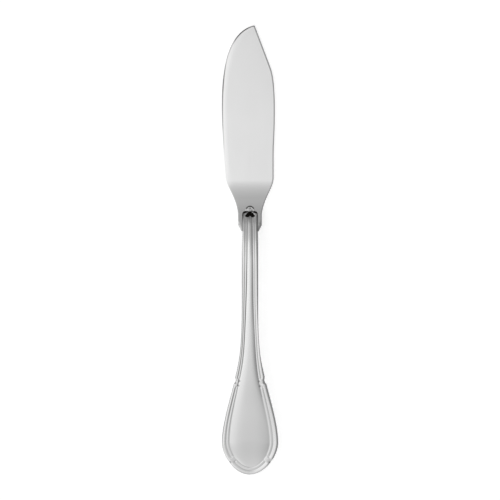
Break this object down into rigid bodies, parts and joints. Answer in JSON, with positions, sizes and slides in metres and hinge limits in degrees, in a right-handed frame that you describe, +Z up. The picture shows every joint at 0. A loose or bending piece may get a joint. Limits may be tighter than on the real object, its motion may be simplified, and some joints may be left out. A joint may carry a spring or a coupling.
{
  "type": "fish knife",
  "caption": "Fish knife with a broad flat cranked blade, riveted and soldered into a hollow spoon-ended handle with a threaded border and ribbon ties.",
  "frame": {"origin": "on the surface that the knife lies on, at the middle of its length and width, on the handle's axis", "axes": "+Y along the length towards the point of the blade, +X to the side of the blade's back, +Z up from the surface to the face that shows"},
  "size_m": [0.0252, 0.2, 0.0072],
  "materials": {
    "blade_plate": "polished silver plate",
    "handle_plate": "polished silver plate, struck relief",
    "cement": "coarse set cement",
    "solder": "dull silver solder"
  },
  "bodies": {
    "root": {"blade": "blade_plate", "front_handle_shell": "handle_plate", "rear_handle_shell": "handle_plate", "handle_filler": "cement", "seam_solder": "solder", "root_solder": "solder", "boss_rivet": "handle_plate"}
  },
  "joints": []
}
